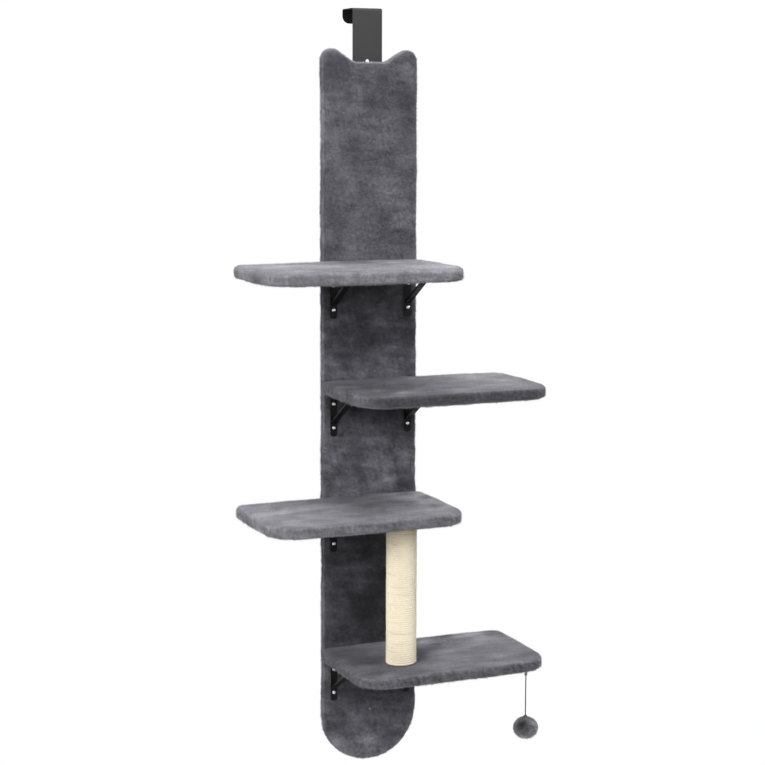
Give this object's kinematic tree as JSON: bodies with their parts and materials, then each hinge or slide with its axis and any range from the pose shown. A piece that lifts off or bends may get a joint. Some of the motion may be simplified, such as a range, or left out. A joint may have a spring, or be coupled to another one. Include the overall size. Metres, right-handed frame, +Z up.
{
  "type": "over-door cat climber",
  "caption": "Tall plush-covered backboard that hangs over a door on a steel hook, with staggered plush shelves on steel brackets, a sisal-wound post and a dangling ball.",
  "frame": {"origin": "middle of the hook's seat: the underside of its bridge, half way across the door gap, which rests on the top edge of the door", "axes": "+Z up, +X to the right as seen from the room, -Y out from the door into the room"},
  "size_m": [0.673, 0.364, 1.7655],
  "materials": {
    "hook_steel": "smooth grey powder coat, low sheen",
    "zinc_steel": "bright zinc-plated steel",
    "chipboard": "raw particle board, matte",
    "grey_plush": "short deep-pile plush, mottled nap",
    "black_steel": "black enamel, semi-gloss",
    "cardboard_tube": "wound kraft board, matte",
    "plug_wood": "raw softwood, matte",
    "sisal_rope": "pale twisted sisal rope, fibrous",
    "toy_cord": "thin braided cord, matte",
    "ball_plush": "long soft plush, mottled"
  },
  "bodies": {
    "climber": {"bracket_1_left": "black_steel", "bracket_1_right": "black_steel", "bracket_2_left": "black_steel", "bracket_2_right": "black_steel", "bracket_3_left": "black_steel", "bracket_3_right": "black_steel", "bracket_4_left": "black_steel", "bracket_4_right": "black_steel", "bracket_shelf_screws": "zinc_steel", "bracket_wall_screws": "zinc_steel", "door_hook": "hook_steel", "hook_bolts": "zinc_steel", "hook_nuts": "zinc_steel", "joining_plates": "zinc_steel", "joining_screws": "zinc_steel", "lower_panel_core": "chipboard", "lower_panel_cover": "grey_plush", "lower_panel_screw": "zinc_steel", "middle_panel_core": "chipboard", "middle_panel_cover": "grey_plush", "post_lower_bolt": "zinc_steel", "post_lower_plug": "plug_wood", "post_rope": "sisal_rope", "post_tube": "cardboard_tube", "post_upper_bolt": "zinc_steel", "post_upper_plug": "plug_wood", "shelf_1_core": "chipboard", "shelf_1_cover": "grey_plush", "shelf_2_core": "chipboard", "shelf_2_cover": "grey_plush", "shelf_3_core": "chipboard", "shelf_3_cover": "grey_plush", "shelf_4_core": "chipboard", "shelf_4_cover": "grey_plush", "toy_screw_eye": "zinc_steel", "upper_panel_core": "chipboard", "upper_panel_cover": "grey_plush"},
    "toy_loop": {"toy_cord_loop": "toy_cord"},
    "toy": {"toy_cord": "toy_cord", "toy_ball": "ball_plush"}
  },
  "joints": [
    {"name": "toy_swing_side", "type": "hinge", "parent": "climber", "child": "toy_loop", "pos_m": [0.2945, -0.2895, -1.5145], "axis": [0, 1, 0], "range_deg": [-60, 60]},
    {"name": "toy_swing_front", "type": "hinge", "parent": "toy_loop", "child": "toy", "pos_m": [0.2945, -0.2895, -1.5248], "axis": [1, 0, 0], "range_deg": [-60, 60]}
  ]
}
